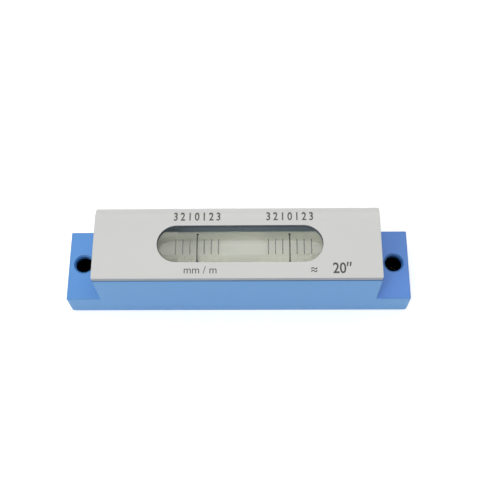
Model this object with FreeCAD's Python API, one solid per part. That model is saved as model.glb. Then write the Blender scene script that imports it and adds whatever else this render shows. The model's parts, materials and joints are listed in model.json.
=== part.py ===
import FreeCAD, Part
import math
import os

from FreeCAD import Vector

# Small bench level with screw ears. Millimetres, +X along the bar, +Y to the rear, +Z up.
# The origin is the centre of the ground base face.

# Bar
base_length = 80.0
body_width = 17.0
block_height = 20.2
ear_length = 7.9
ear_height = 8.0
edge_break = 0.15
top_edge_chamfer = 0.6
foot_end_chamfer = 0.6
ear_hole_radius = 2.0
ear_hole_from_end = 3.5
ear_hole_y = 0.4
ear_hole_chamfer = 0.4

# Pocket for the vial's cradle, milled from the top of the block
pocket_corner_radius = 2.5
end_wall = 5.0
cradle_side_clearance = 0.1
cradle_end_clearance = 0.35
cradle_float = 0.5

# Sheet cover
cover_thickness = 1.2
cover_end_inset = 0.05
cover_corner_radius = 0.4
bend_inner_radius = 2.4
bend_relief = 0.3
flange_drop = 10.2
window_width = 8.8
window_y = -0.2
window_left_of_vial = 0.75
vial_end_cover = 3.5

# Cover screws, countersunk, two in the rear flange
cover_screw_radius = 1.0
cover_screw_length = 6.0
cover_screw_above_edge = 3.5
cover_screw_head_radius = 1.9
cover_screw_recess_width = 0.5
cover_screw_recess_length = 2.2
cover_screw_recess_depth = 0.5
thread_clearance = 0.03
blind_hole_gap = 0.4

# Vial, a sealed tube with a bore ground to a barrel curve
vial_below_cover = 0.8
vial_radius = 5.5
vial_wall = 1.1
vial_end_wall = 2.0
vial_end_round = 2.6
vial_end_stretches = 3
cavity_end_bevel = 1.6
barrel_stretches = 3
liquid_film = 0.05

# Graduation: one division is a slope of 0.1 mm in a metre
division_pitch = 1.6
slope_per_division = 0.0001
graduation_margin = 3.3
divisions_each_side = 3
main_line_angle = 37.5
short_line_angle = 19.5
main_line_width = 0.3
short_line_width = 0.22
line_dot_radius = 0.32
ink_thickness = 0.05

# Bubble and the way that it slides in
bubble_length = 10.0
bubble_width = 5.6
bubble_depth = 1.3
bubble_clearance = 0.12
bubble_end_room = 2.0

# Cradle for the vial: trough, pivot block at the right, adjuster tab at the left
vial_bed = 0.2
cradle_wall = 0.5
cradle_half_angle = 78.0
cradle_end_gap = 0.3
cement_length = 4.0
pivot_block_length = 3.0
pivot_block_width = 9.2
pivot_top_wall = 0.8
end_rib_length = 1.0
tab_width = 7.0
tab_thickness = 1.6
tab_bottom_above_floor = 1.4
tab_end_margin = 0.45

# Pivot pin, pressed into the bar from the rear
pivot_pin_radius = 0.75
pivot_below_axis = 2.9
pin_front_wall = 1.0
pin_end_gap = 0.1
press_fit_gap = 0.01
pivot_clearance = 0.05

# Adjusting screw, washer and spring
adjuster_radius = 1.25
adjuster_hole_clearance = 0.3
adjuster_side_clearance = 0.25
adjuster_head_radius = 2.1
adjuster_head_height = 1.5
adjuster_slot_width = 0.6
adjuster_slot_depth = 0.8
adjuster_washer_radius = 2.1
adjuster_washer_thickness = 0.4
adjuster_travel = 0.25
adjuster_floor = 1.45
running_gap = 0.03
spring_wire_radius = 0.2
spring_bore_clearance = 0.35
spring_turns = 3.0
spring_wire_sides = 6
spring_seat_depth = 1.0
spring_seat_clearance = 0.2

# How far a cutting tool runs past the face that it cuts
overrun = 1.0

# Bar and cover sizes that follow
half_width = body_width / 2
block_length = base_length - 2 * ear_length
half_block = block_length / 2
ear_hole_spacing = base_length - 2 * ear_hole_from_end
pocket_length = block_length - 2 * end_wall
cover_top = block_height + cover_thickness
bend_outer_radius = bend_inner_radius + cover_thickness
flange_outer_y = half_width + cover_thickness
flange_bottom = block_height - flange_drop
cover_screw_x = half_block - end_wall / 2
cover_screw_height = flange_bottom + cover_screw_above_edge

# Cradle along the pocket, and the vial between its ends
adjuster_reach = max(adjuster_head_radius, adjuster_washer_radius)
adjuster_from_end_rib = adjuster_reach + adjuster_side_clearance
tab_length = adjuster_from_end_rib + adjuster_reach + tab_end_margin
cradle_left = -pocket_length / 2 + cradle_end_clearance + tab_length + end_rib_length
cradle_right = pocket_length / 2 - cradle_end_clearance - pivot_block_length
vial_length = cradle_right - cradle_left - 2 * cradle_end_gap
vial_x = (cradle_left + cradle_right) / 2
vial_z = block_height - vial_below_cover - vial_radius
cavity_length = vial_length - 2 * vial_end_wall
cavity_radius = vial_radius - vial_wall
barrel_radius = division_pitch / slope_per_division
window_length = vial_length - 2 * vial_end_cover
window_x = vial_x - window_left_of_vial
main_line_spacing = window_length - 2 * (graduation_margin + divisions_each_side * division_pitch)
bubble_travel = (cavity_length - bubble_length) / 2 - bubble_end_room

# Cradle across the pocket, its pivot and its adjuster
cradle_inner_radius = vial_radius + vial_bed
cradle_outer_radius = cradle_inner_radius + cradle_wall
cradle_top = vial_z - cradle_outer_radius * math.cos(math.radians(cradle_half_angle))
pocket_width = 2 * (cradle_outer_radius + cradle_side_clearance)
pocket_floor = vial_z - cradle_outer_radius - cradle_float
pivot_x = cradle_right + pivot_block_length / 2
pivot_z = vial_z - pivot_below_axis
pivot_block_top = pivot_z + pivot_pin_radius + pivot_clearance + pivot_top_wall
pin_front = -half_width + pin_front_wall
adjuster_x = cradle_left - end_rib_length - adjuster_from_end_rib
adjuster_bottom = adjuster_floor + blind_hole_gap + adjuster_travel
tab_bottom = pocket_floor + tab_bottom_above_floor
tab_top = tab_bottom + tab_thickness
washer_bottom = tab_top + running_gap
head_bottom = washer_bottom + adjuster_washer_thickness + running_gap
spring_radius = adjuster_radius + spring_bore_clearance + spring_wire_radius
spring_seat_z = pocket_floor - spring_seat_depth

ORIGIN = Vector(0, 0, 0)
X = Vector(1, 0, 0)
Y = Vector(0, 1, 0)
Z = Vector(0, 0, 1)


def box(x_low, x_high, y_low, y_high, z_low, z_high):
    return Part.makeBox(x_high - x_low, y_high - y_low, z_high - z_low, Vector(x_low, y_low, z_low))


def rod(radius, start, direction, length):
    return Part.makeCylinder(radius, length, start, direction)


def slot_prism(length, width, centre_x, centre_y, z_low, z_high):
    """A prism whose outline is a slot with full-round ends, along X."""
    radius = width / 2
    reach = length / 2 - radius
    height = z_high - z_low
    middle = box(centre_x - reach, centre_x + reach, centre_y - radius, centre_y + radius, z_low, z_high)
    left = rod(radius, Vector(centre_x - reach, centre_y, z_low), Z, height)
    right = rod(radius, Vector(centre_x + reach, centre_y, z_low), Z, height)
    return middle.fuse([left, right]).removeSplitter()


def extrude_profile(points, direction):
    """Straight-sided outline, closed and extruded."""
    wire = Part.makePolygon(points + [points[0]])
    return Part.Face(wire).extrude(direction)


def bar_blank():
    """The inverted-T outline of the front face, extruded across the width."""
    half_base = base_length / 2
    outline = [
        Vector(-half_base, -half_width, 0),
        Vector(half_base, -half_width, 0),
        Vector(half_base, -half_width, ear_height),
        Vector(half_block, -half_width, ear_height),
        Vector(half_block, -half_width, block_height),
        Vector(-half_block, -half_width, block_height),
        Vector(-half_block, -half_width, ear_height),
        Vector(-half_base, -half_width, ear_height),
    ]
    return extrude_profile(outline, Vector(0, body_width, 0))


def edges_where(shape, test):
    """Straight edges whose middle point passes the test."""
    found = []
    for edge in shape.Edges:
        middle = edge.valueAt((edge.FirstParameter + edge.LastParameter) / 2)
        if test(middle):
            found.append(edge)
    return found


def near(a, b):
    return abs(a - b) < 1e-6


def break_edges(bar):
    """Round under the bend, chamfers at the top front edge and the foot's ends, small ones elsewhere."""
    half_base = base_length / 2

    def is_rear_top(p):
        return near(p.y, half_width) and near(p.z, block_height)

    def is_front_top(p):
        return near(p.y, -half_width) and near(p.z, block_height)

    def is_foot_end(p):
        return near(abs(p.x), half_base) and near(p.z, 0)

    def is_outer(p):
        on_side = near(abs(p.y), half_width)
        on_end = near(abs(p.x), half_base)
        on_foot = near(abs(p.x), half_block) and near(p.z, ear_height)
        return (on_side or on_end) and not near(p.z, block_height) and not on_foot

    bar = bar.makeFillet(bend_inner_radius + bend_relief, edges_where(bar, is_rear_top))
    bar = bar.makeChamfer(top_edge_chamfer, edges_where(bar, is_front_top))
    bar = bar.makeChamfer(foot_end_chamfer, edges_where(bar, is_foot_end))
    straight = [edge for edge in edges_where(bar, is_outer) if edge.Curve.TypeId == "Part::GeomLine"]
    return bar.makeChamfer(edge_break, straight)


def ear_hole_cutter(side):
    """Through hole for a screw, with a small chamfer at its mouth."""
    x = side * ear_hole_spacing / 2
    mouth = ear_hole_radius + ear_hole_chamfer
    hole = rod(ear_hole_radius, Vector(x, ear_hole_y, -overrun), Z, ear_height + 2 * overrun)
    start = Vector(x, ear_hole_y, ear_height - ear_hole_chamfer)
    cone = Part.makeCone(ear_hole_radius, mouth, ear_hole_chamfer, start, Z)
    return hole.fuse(cone)


def pocket_cutter():
    """The milled pocket, with corners of the cutter's radius."""
    half = pocket_length / 2
    side = pocket_width / 2
    cutter = box(-half, half, -side, side, pocket_floor, block_height + overrun)
    upright = [edge for edge in cutter.Edges if near(edge.BoundBox.XLength + edge.BoundBox.YLength, 0)]
    return cutter.makeFillet(pocket_corner_radius, upright)


def adjuster_hole_cutter():
    """Seat for the spring and a blind threaded hole under it."""
    seat_radius = spring_radius + spring_wire_radius + spring_seat_clearance
    seat = rod(seat_radius, Vector(adjuster_x, 0, spring_seat_z), Z, spring_seat_depth + overrun)
    bottom = Vector(adjuster_x, 0, adjuster_floor)
    thread = rod(adjuster_radius + thread_clearance, bottom, Z, pocket_floor - adjuster_floor)
    return seat.fuse(thread)


def pivot_hole_cutter():
    """Cross hole from the rear face, blind in the front wall so that the front face stays whole."""
    length = half_width + overrun - pin_front
    return rod(pivot_pin_radius + press_fit_gap, Vector(pivot_x, pin_front, pivot_z), Y, length)


def cover_screw_hole_cutter(side):
    """Blind hole in the rear face, a little deeper than the screw that goes into it."""
    start = Vector(side * cover_screw_x, flange_outer_y, cover_screw_height)
    hole = rod(cover_screw_radius + thread_clearance, start, Y * -1, cover_screw_length + blind_hole_gap)
    return hole.fuse(cover_screw_shape(side, thread_clearance))


def make_base_body():
    bar = break_edges(bar_blank())
    cutters = [pocket_cutter(), adjuster_hole_cutter(), pivot_hole_cutter()]
    for side in (-1, 1):
        cutters.append(ear_hole_cutter(side))
        cutters.append(cover_screw_hole_cutter(side))
    return bar.cut(cutters)


def make_top_cover():
    """An L-shaped sheet: flat top, one bend at the rear and a short flange down the rear face."""
    half = half_block - cover_end_inset
    front = -half_width
    bend_centre = Vector(-half, half_width - bend_inner_radius, block_height - bend_inner_radius)
    reach = math.sqrt(0.5)

    def at(y, z):
        return Vector(-half, y, z)

    def on_bend(radius):
        return bend_centre + Vector(0, reach * radius, reach * radius)

    outer_start = at(bend_centre.y, cover_top)
    outer_end = at(flange_outer_y, bend_centre.z)
    inner_start = at(half_width, bend_centre.z)
    inner_end = at(bend_centre.y, block_height)
    edges = [
        Part.makeLine(at(front, block_height), at(front, cover_top)),
        Part.makeLine(at(front, cover_top), outer_start),
        Part.Arc(outer_start, on_bend(bend_outer_radius), outer_end).toShape(),
        Part.makeLine(outer_end, at(flange_outer_y, flange_bottom)),
        Part.makeLine(at(flange_outer_y, flange_bottom), at(half_width, flange_bottom)),
        Part.makeLine(at(half_width, flange_bottom), inner_start),
        Part.Arc(inner_start, on_bend(bend_inner_radius), inner_end).toShape(),
        Part.makeLine(inner_end, at(front, block_height)),
    ]
    sheet = Part.Face(Part.Wire(edges)).extrude(Vector(2 * half, 0, 0))

    def is_front_corner(p):
        return near(p.y, front) and near(abs(p.x), half)

    sheet = sheet.makeFillet(cover_corner_radius, edges_where(sheet, is_front_corner))
    window = slot_prism(window_length, window_width, window_x, window_y,
                        block_height - overrun, cover_top + overrun)
    cutters = [window]
    for side in (-1, 1):
        cutters.append(cover_screw_shape(side, thread_clearance))
    return sheet.cut(cutters)


def cover_screw_shape(side, grow):
    """Countersunk head and plain shank, pointing to the front; grown evenly when it cuts the cover."""
    face_y = flange_outer_y
    head_height = cover_screw_head_radius - cover_screw_radius
    centre = Vector(side * cover_screw_x, face_y, cover_screw_height)
    inward = Y * -1
    length = cover_screw_length
    shank_radius = cover_screw_radius + grow
    shank = rod(shank_radius, centre, inward, length)
    head = Part.makeCone(cover_screw_head_radius + grow, shank_radius, head_height, centre, inward)
    return shank.fuse(head)


def make_cover_screws():
    """Two identical screws with a cross recess."""
    screws = []
    long = cover_screw_recess_length / 2
    narrow = cover_screw_recess_width / 2
    for side in (-1, 1):
        x = side * cover_screw_x
        z = cover_screw_height
        y_low = flange_outer_y - cover_screw_recess_depth
        y_high = flange_outer_y + overrun
        bar_across = box(x - long, x + long, y_low, y_high, z - narrow, z + narrow)
        bar_upright = box(x - narrow, x + narrow, y_low, y_high, z - long, z + long)
        screws.append(cover_screw_shape(side, 0).cut([bar_across, bar_upright]))
    return Part.makeCompound(screws)


def end_points(half_length, radius, end_size, stretches, side):
    """Points from the flat of one end out to the full radius: a bevel, or stretches of a round."""
    centre_x = vial_x + side * (half_length - end_size)
    centre_z = vial_z + radius - end_size
    points = []
    for step in range(stretches + 1):
        angle = math.radians(90 * step / stretches)
        along = side * end_size * math.cos(angle)
        points.append(Vector(centre_x + along, 0, centre_z + end_size * math.sin(angle)))
    return points


def revolved_tube(half_length, radius, end_size, stretches, side_points):
    """Solid of revolution about the vial's axis, alike at both ends; side points lie between them."""
    left = end_points(half_length, radius, end_size, stretches, -1)
    right = end_points(half_length, radius, end_size, stretches, 1)
    axis_left = Vector(vial_x - half_length, 0, vial_z)
    axis_right = Vector(vial_x + half_length, 0, vial_z)
    outline = [axis_left] + left + side_points + right[::-1] + [axis_right, axis_left]
    return Part.Face(Part.makePolygon(outline)).revolve(Vector(vial_x, 0, vial_z), X, 360)


def barrel_drop(distance):
    """How far the ground bore lies inside its middle radius, at a distance from its middle."""
    return barrel_radius - math.sqrt(barrel_radius ** 2 - distance ** 2)


def cavity(inset):
    """The bore. Its arc is so flat that a few straight stretches between points on it keep its form."""
    half = cavity_length / 2 - inset
    middle_radius = cavity_radius - inset
    straight = half - cavity_end_bevel
    barrel = []
    for step in range(1, barrel_stretches):
        distance = straight * (2 * step / barrel_stretches - 1)
        height = middle_radius - barrel_drop(distance)
        barrel.append(Vector(vial_x + distance, 0, vial_z + height))
    return revolved_tube(half, middle_radius - barrel_drop(straight), cavity_end_bevel, 1, barrel)


def make_vial_glass():
    outside = revolved_tube(vial_length / 2, vial_radius, vial_end_round, vial_end_stretches, [])
    return outside.cut(cavity(0))


def bubble_roof_radius():
    return cavity_radius - barrel_drop(cavity_length / 2) - liquid_film - bubble_clearance


def make_vial_liquid():
    """The liquid, with a clear groove along its top for the bubble's whole travel."""
    roof = bubble_roof_radius()
    groove_floor = vial_z + roof - bubble_depth - bubble_clearance
    length = bubble_length + 2 * (bubble_travel + bubble_clearance)
    width = bubble_width + 2 * bubble_clearance
    groove = slot_prism(length, width, vial_x, 0, groove_floor, vial_z + vial_radius)
    return cavity(liquid_film).cut(groove)


def make_bubble():
    """Flat underneath where it meets the liquid, round on top where it lies against the glass."""
    roof = bubble_roof_radius()
    bottom = vial_z + roof - bubble_depth
    outline = slot_prism(bubble_length, bubble_width, vial_x, 0, bottom, vial_z + vial_radius)
    start = Vector(vial_x - bubble_length, 0, vial_z)
    return rod(roof, start, X, 2 * bubble_length).common(outline)


def ink_shell():
    start = Vector(vial_x - vial_length / 2, 0, vial_z)
    outer = rod(vial_radius + ink_thickness, start, X, vial_length)
    inner = rod(vial_radius, start, X, vial_length)
    return outer.cut(inner)


def line_offsets(main_side):
    """Distances from the vial's middle of the short lines beside one main line, all on its side."""
    offsets = []
    for step in range(-divisions_each_side, divisions_each_side + 1):
        distance = main_line_spacing / 2 + step * division_pitch
        if step != 0 and distance > division_pitch / 2:
            offsets.append(main_side * distance)
    return offsets


def inked_line(shell, offset, width, half_angle, dots):
    """A line across the top of the tube, laid on the glass as a thin curved strip."""
    x = vial_x + offset
    reach = vial_radius * math.sin(math.radians(half_angle))
    top = vial_z + vial_radius + overrun
    mask = box(x - width / 2, x + width / 2, -reach, reach, vial_z, top)
    if dots:
        height = vial_radius + overrun
        ends = [rod(line_dot_radius, Vector(x, side * reach, vial_z), Z, height) for side in (-1, 1)]
        mask = mask.fuse(ends)
    return shell.common(mask)


def make_main_lines():
    shell = ink_shell()
    lines = []
    for side in (-1, 1):
        offset = side * main_line_spacing / 2
        lines.append(inked_line(shell, offset, main_line_width, main_line_angle, True).Solids[0])
    return Part.makeCompound(lines)


def make_division_lines():
    shell = ink_shell()
    lines = []
    for side in (-1, 1):
        for offset in line_offsets(side):
            lines.append(inked_line(shell, offset, short_line_width, short_line_angle, False).Solids[0])
    return Part.makeCompound(lines)


def trough(inner, outer, x_low, x_high, half_angle):
    """Sector of a tube, open at the top, from x_low to x_high."""
    start = Vector(x_low, 0, vial_z)
    length = x_high - x_low
    sector = Part.makeCylinder(outer, length, ORIGIN, Z, 2 * half_angle)
    if inner > 0:
        sector = sector.cut(Part.makeCylinder(inner, length + 2 * overrun, Vector(0, 0, -overrun), Z))
    sector.rotate(ORIGIN, Z, -half_angle)
    sector.rotate(ORIGIN, Y, 90)
    sector.translate(start)
    return sector


def half_moon(x_low, x_high, half_depth, top):
    """Solid end of the trough, with its outer curve underneath and a flat top."""
    disc = rod(cradle_outer_radius, Vector(x_low, 0, vial_z), X, x_high - x_low)
    keep = box(x_low, x_high, -half_depth, half_depth, vial_z - cradle_outer_radius, top)
    return disc.common(keep)


def make_vial_cradle():
    """Trough, pivot block at the right end, rib and tab at the left end, all one piece."""
    shell = trough(cradle_inner_radius, cradle_outer_radius, cradle_left, cradle_right, cradle_half_angle)
    block_end = cradle_right + pivot_block_length
    block = half_moon(cradle_right, block_end, pivot_block_width / 2, pivot_block_top)
    rib_left = cradle_left - end_rib_length
    rib = half_moon(rib_left, cradle_left, cradle_outer_radius, cradle_top)
    half_tab = tab_width / 2
    tab = box(rib_left - tab_length, rib_left, -half_tab, half_tab, tab_bottom, tab_top)
    pin_bore = rod(pivot_pin_radius + pivot_clearance, Vector(pivot_x, -half_width, pivot_z), Y, body_width)
    hole = adjuster_radius + adjuster_hole_clearance
    screw_hole = rod(hole, Vector(adjuster_x, 0, tab_bottom - overrun), Z, tab_thickness + 2 * overrun)
    return shell.fuse([block, rib, tab]).removeSplitter().cut([pin_bore, screw_hole])


def make_vial_cement():
    """Two beds of cement that fill the gap between glass and trough near the vial's ends."""
    beds = []
    for side in (-1, 1):
        outer_end = vial_x + side * (vial_length / 2 - vial_end_round)
        inner_end = outer_end - side * cement_length
        low = min(outer_end, inner_end)
        high = max(outer_end, inner_end)
        beds.append(trough(vial_radius, cradle_inner_radius, low, high, cradle_half_angle))
    return Part.makeCompound(beds)


def make_pivot_pin():
    rear = half_width - pin_end_gap
    return rod(pivot_pin_radius, Vector(pivot_x, pin_front, pivot_z), Y, rear - pin_front)


def make_adjusting_screw():
    """Cheese-head screw with a slot; it turns and rises in the bar."""
    shank = rod(adjuster_radius, Vector(adjuster_x, 0, adjuster_bottom), Z, head_bottom - adjuster_bottom)
    head = rod(adjuster_head_radius, Vector(adjuster_x, 0, head_bottom), Z, adjuster_head_height)
    head_top = head_bottom + adjuster_head_height
    half_slot = adjuster_slot_width / 2
    reach = adjuster_head_radius + overrun
    slot = box(adjuster_x - half_slot, adjuster_x + half_slot, -reach, reach,
               head_top - adjuster_slot_depth, head_top + overrun)
    return shank.fuse(head).removeSplitter().cut(slot)


def make_adjusting_washer():
    start = Vector(adjuster_x, 0, washer_bottom)
    disc = rod(adjuster_washer_radius, start, Z, adjuster_washer_thickness)
    hole = rod(adjuster_radius + pivot_clearance, start, Z, adjuster_washer_thickness)
    return disc.cut(hole)


def make_adjusting_spring():
    """Compression spring round the screw, from its seat in the bar to the tab."""
    height = tab_bottom - spring_seat_z - 2 * spring_wire_radius
    pitch = height / spring_turns
    helix = Part.makeHelix(pitch, height, spring_radius)
    corners = []
    for side in range(spring_wire_sides + 1):
        turn = 2 * math.pi * side / spring_wire_sides
        outward = spring_radius + spring_wire_radius * math.cos(turn)
        corners.append(Vector(outward, 0, spring_wire_radius * math.sin(turn)))
    section = Part.makePolygon(corners)
    coil = Part.Wire(helix.Edges).makePipeShell([section], True, True)
    coil.translate(Vector(adjuster_x, 0, spring_seat_z + spring_wire_radius))
    return coil


PIECES = {
    "base_body": make_base_body,
    "top_cover": make_top_cover,
    "cover_screws": make_cover_screws,
    "vial_glass": make_vial_glass,
    "vial_liquid": make_vial_liquid,
    "bubble": make_bubble,
    "main_lines": make_main_lines,
    "division_lines": make_division_lines,
    "vial_cradle": make_vial_cradle,
    "vial_cement": make_vial_cement,
    "pivot_pin": make_pivot_pin,
    "adjusting_screw": make_adjusting_screw,
    "adjusting_washer": make_adjusting_washer,
    "adjusting_spring": make_adjusting_spring,
}

os.makedirs("parts", exist_ok=True)
for name, make in PIECES.items():
    shape = make()
    solids = len(shape.Solids)
    valid = shape.isValid()
    print(name, "solids", solids, "valid", valid, "volume", round(shape.Volume, 2))
    shape.exportStep("parts/" + name + ".step")
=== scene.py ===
# %% [markdown]
# # A small bench level
#
# The level is a blue bar with two screw ears, a pale sheet cover and a glass vial that shows
# through a slot in that cover. The solids come ready made from the frame. This lesson gives them
# their finishes, makes the vial anew in clear glass, draws the graduation and sets up the studio.
#
# Everything is in metres, in the frame's own axes: X along the bar, Y to the rear, Z up.

# %% Open the frame
import json
import math

import bmesh
import bpy
from mathutils import Matrix, Vector


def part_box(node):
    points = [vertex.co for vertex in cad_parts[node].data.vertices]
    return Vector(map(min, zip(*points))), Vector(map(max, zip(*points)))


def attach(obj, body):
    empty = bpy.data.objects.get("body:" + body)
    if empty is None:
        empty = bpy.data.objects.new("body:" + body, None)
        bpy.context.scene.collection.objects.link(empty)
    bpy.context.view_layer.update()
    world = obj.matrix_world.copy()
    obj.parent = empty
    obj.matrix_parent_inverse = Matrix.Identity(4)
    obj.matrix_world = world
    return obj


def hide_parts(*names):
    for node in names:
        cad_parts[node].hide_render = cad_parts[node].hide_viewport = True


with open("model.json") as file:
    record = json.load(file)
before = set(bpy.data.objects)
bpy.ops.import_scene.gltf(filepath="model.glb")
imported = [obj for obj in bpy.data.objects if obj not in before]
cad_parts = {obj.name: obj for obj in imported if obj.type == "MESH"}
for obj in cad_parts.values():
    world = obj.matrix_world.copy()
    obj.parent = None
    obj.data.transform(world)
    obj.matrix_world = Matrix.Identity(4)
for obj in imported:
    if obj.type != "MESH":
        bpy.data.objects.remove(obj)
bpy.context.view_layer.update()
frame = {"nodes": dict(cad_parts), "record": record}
pieces = frame["nodes"]
scene = bpy.context.scene
print("solids in the frame:", len(pieces))

# %% [markdown]
# ## Sizes
#
# The places of the new pieces are read from the boxes of the solids that they stand for, so
# that the lesson still fits when the level is built in another size. Only what a box can't tell,
# such as the place of the window and the height of the ears, is written here. `FAR` is a metre,
# well past the level, for masks that have no limit on a side.

# %% Read the sizes
MM = 0.001
FAR = 1.0

bar_low, bar_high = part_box("base_body")
cover_low, cover_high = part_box("top_cover")
tube_low, tube_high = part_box("vial_glass")
liquid_low, liquid_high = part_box("vial_liquid")
bubble_low, bubble_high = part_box("bubble")
main_low, main_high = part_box("main_lines")
short_low, short_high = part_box("division_lines")

tube_x = (tube_low.x + tube_high.x) / 2
tube_z = (tube_low.z + tube_high.z) / 2
tube_radius = (tube_high.z - tube_low.z) / 2
tube_half_length = (tube_high.x - tube_low.x) / 2
liquid_radius = tube_z - liquid_low.z
liquid_half_length = (liquid_high.x - liquid_low.x) / 2
liquid_film = 0.05 * MM
ear_height = 8.0 * MM
tube_under_cover = 3.5 * MM
window_left_of_tube = 0.75 * MM
window_half_length = tube_half_length - tube_under_cover
window_half_width = 4.4 * MM
window_x = tube_x - window_left_of_tube
window_y = -0.2 * MM
print("vial radius", round(tube_radius / MM, 2), "mm, axis height", round(tube_z / MM, 2), "mm")
print("short lines span", round((short_high.x - short_low.x) / MM, 2), "mm")

# %% [markdown]
# ## Camera
#
# The picture looks down on the front of the bar from close by, so the perspective matters as much
# as the angle. The level's origin lies a given way in front of the lens, and the three turns say
# how the bar is seen: how far the camera looks down, how far it stands to one side and how far it
# is tilted. The lens follows from the angle that one pixel of the 480 pixel picture takes in.

# %% Place the camera
picture_size = 480
focal_pixels = 896.7
film_width = 36
nearest_seen = 10 * MM
look_down = math.radians(66.70)
stand_aside = math.radians(-3.18)
lean = math.radians(-3.18)
origin_before_lens = Vector((-0.25, 9.03, 218.70)) * MM

upright_view = Matrix(((1, 0, 0), (0, 0, -1), (0, 1, 0)))
to_view = Matrix.Rotation(lean, 3, "Z") @ Matrix.Rotation(look_down, 3, "X") @ upright_view
to_view = to_view @ Matrix.Rotation(stand_aside, 3, "Z")
camera_place = -(to_view.transposed() @ origin_before_lens)
camera_turn = to_view.transposed() @ Matrix.Diagonal((1, -1, -1))

camera_data = bpy.data.cameras.new("studio_camera")
camera_data.sensor_width = film_width
camera_data.lens = focal_pixels / picture_size * film_width
camera_data.clip_start = nearest_seen
camera = bpy.data.objects.new("studio_camera", camera_data)
camera.matrix_world = Matrix.Translation(camera_place) @ camera_turn.to_4x4()
scene.collection.objects.link(camera)
scene.camera = camera


def picture_place(point):
    """Where a point of the level lands in the picture, in pixels from its top left corner."""
    seen = to_view @ point + origin_before_lens
    centre = picture_size / 2
    return centre + focal_pixels * seen.x / seen.z, centre + focal_pixels * seen.y / seen.z


front_corner = Vector((cover_low.x, cover_low.y, cover_high.z))
print("cover's front left corner in the picture:", [round(v, 1) for v in picture_place(front_corner)])

# %% [markdown]
# ## Helpers for meshes
#
# A new piece is a mesh whose points are already in their place, so its object can stay at the
# origin, as the solids of the frame do. Every piece rides on one body of the frame, and where it
# stands for a solid, that solid is hidden.

# %% Mesh helpers


def add_piece(name, mesh, body, replaced=()):
    """Put a finished mesh in the scene and let it move with its body."""
    piece = bpy.data.objects.new(name, mesh)
    scene.collection.objects.link(piece)
    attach(piece, body)
    if replaced:
        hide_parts(*replaced)
    print(name, "faces", len(mesh.polygons), "rides on", body)


def mesh_from(name, points, faces, smooth=True):
    """A mesh of points and faces, shaded smooth or flat."""
    mesh = bpy.data.meshes.new(name)
    mesh.from_pydata([tuple(p) for p in points], [], faces)
    mesh.polygons.foreach_set("use_smooth", [smooth] * len(mesh.polygons))
    mesh.update()
    return mesh


def join_meshes(name, meshes):
    """One mesh with the faces of all, each with the material it had."""
    joined = bmesh.new()
    for mesh in meshes:
        joined.from_mesh(mesh)
    result = bpy.data.meshes.new(name)
    joined.to_mesh(result)
    joined.free()
    for material in meshes[0].materials:
        result.materials.append(material)
    return result


# %% [markdown]
# ## Helpers for materials
#
# A node tree is easier to read when each node takes one call. `add` makes a node, sets its options
# and its plain inputs, and `principled` starts a material with one shader. A mix node has sockets
# for values, vectors and colours side by side, and the colours lie at the places named here.

# %% Material helpers
MIX_FACTOR, MIX_FIRST, MIX_SECOND, MIX_RESULT = 0, 6, 7, 2


def add(tree, kind, plain=None, **options):
    """One node, with its options and its unlinked inputs."""
    node = tree.nodes.new(kind)
    for name, value in options.items():
        setattr(node, name, value)
    for name, value in (plain or {}).items():
        node.inputs[name].default_value = value
    return node


def math_node(tree, operation, first, second=0.0):
    """A sum of one or two values, each a socket or a number."""
    node = add(tree, "ShaderNodeMath", operation=operation)
    for place, value in enumerate((first, second)):
        if isinstance(value, bpy.types.NodeSocket):
            tree.links.new(value, node.inputs[place])
        else:
            node.inputs[place].default_value = value
    return node.outputs[0]


def principled(name, **plain):
    """A new material with one shader, its plain values set, and the tree, shader and output."""
    material = bpy.data.materials.new(name)
    material.use_nodes = True
    tree = material.node_tree
    tree.nodes.clear()
    shader = add(tree, "ShaderNodeBsdfPrincipled")
    for socket, value in plain.items():
        shader.inputs[socket.replace("_", " ")].default_value = value
    output = add(tree, "ShaderNodeOutputMaterial")
    tree.links.new(shader.outputs["BSDF"], output.inputs["Surface"])
    return material, tree, shader


def colour(red, green, blue):
    """An opaque colour in linear light."""
    return (red, green, blue, 1.0)


def grey(level):
    return colour(level, level, level)


def mix_colours(tree, factor, first, second, blend="MIX"):
    """A colour mix; each input is a socket or a plain colour."""
    node = add(tree, "ShaderNodeMix", data_type="RGBA", blend_type=blend)
    for place, value in ((MIX_FACTOR, factor), (MIX_FIRST, first), (MIX_SECOND, second)):
        if isinstance(value, bpy.types.NodeSocket):
            tree.links.new(value, node.inputs[place])
        else:
            node.inputs[place].default_value = value
    return node.outputs[MIX_RESULT]


def mix_values(tree, factor, first, second):
    """A value between two plain numbers, by a mask."""
    node = add(tree, "ShaderNodeMapRange", {"To Min": first, "To Max": second})
    tree.links.new(factor, node.inputs["Value"])
    return node.outputs["Result"]


def new_group(name, inputs, outputs):
    """An empty shader group with named sockets; inputs give their kind and first value."""
    group = bpy.data.node_groups.new(name, "ShaderNodeTree")
    for label, (kind, value) in inputs.items():
        socket = group.interface.new_socket(label, in_out="INPUT", socket_type="NodeSocket" + kind)
        if value is not None:
            socket.default_value = value
    for label, kind in outputs.items():
        group.interface.new_socket(label, in_out="OUTPUT", socket_type="NodeSocket" + kind)
    return group, group.nodes.new("NodeGroupInput"), group.nodes.new("NodeGroupOutput")


def set_surface(tree, shader_socket):
    """Let a material show this shader in place of the one it started with."""
    output = next(node for node in tree.nodes if node.type == "OUTPUT_MATERIAL")
    tree.links.new(shader_socket, output.inputs["Surface"])


# %% [markdown]
# ## Shared effects
#
# No workshop surface is perfectly even. Paint has a fine grain and faint patches, machined edges
# are a little round and catch the light, and handling rubs them. One group gives all of that to
# every opaque finish, each with its own values. A second group tells whether a point of the
# surface lies inside a box, for places that have another finish, such as the inside of the pocket.

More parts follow.
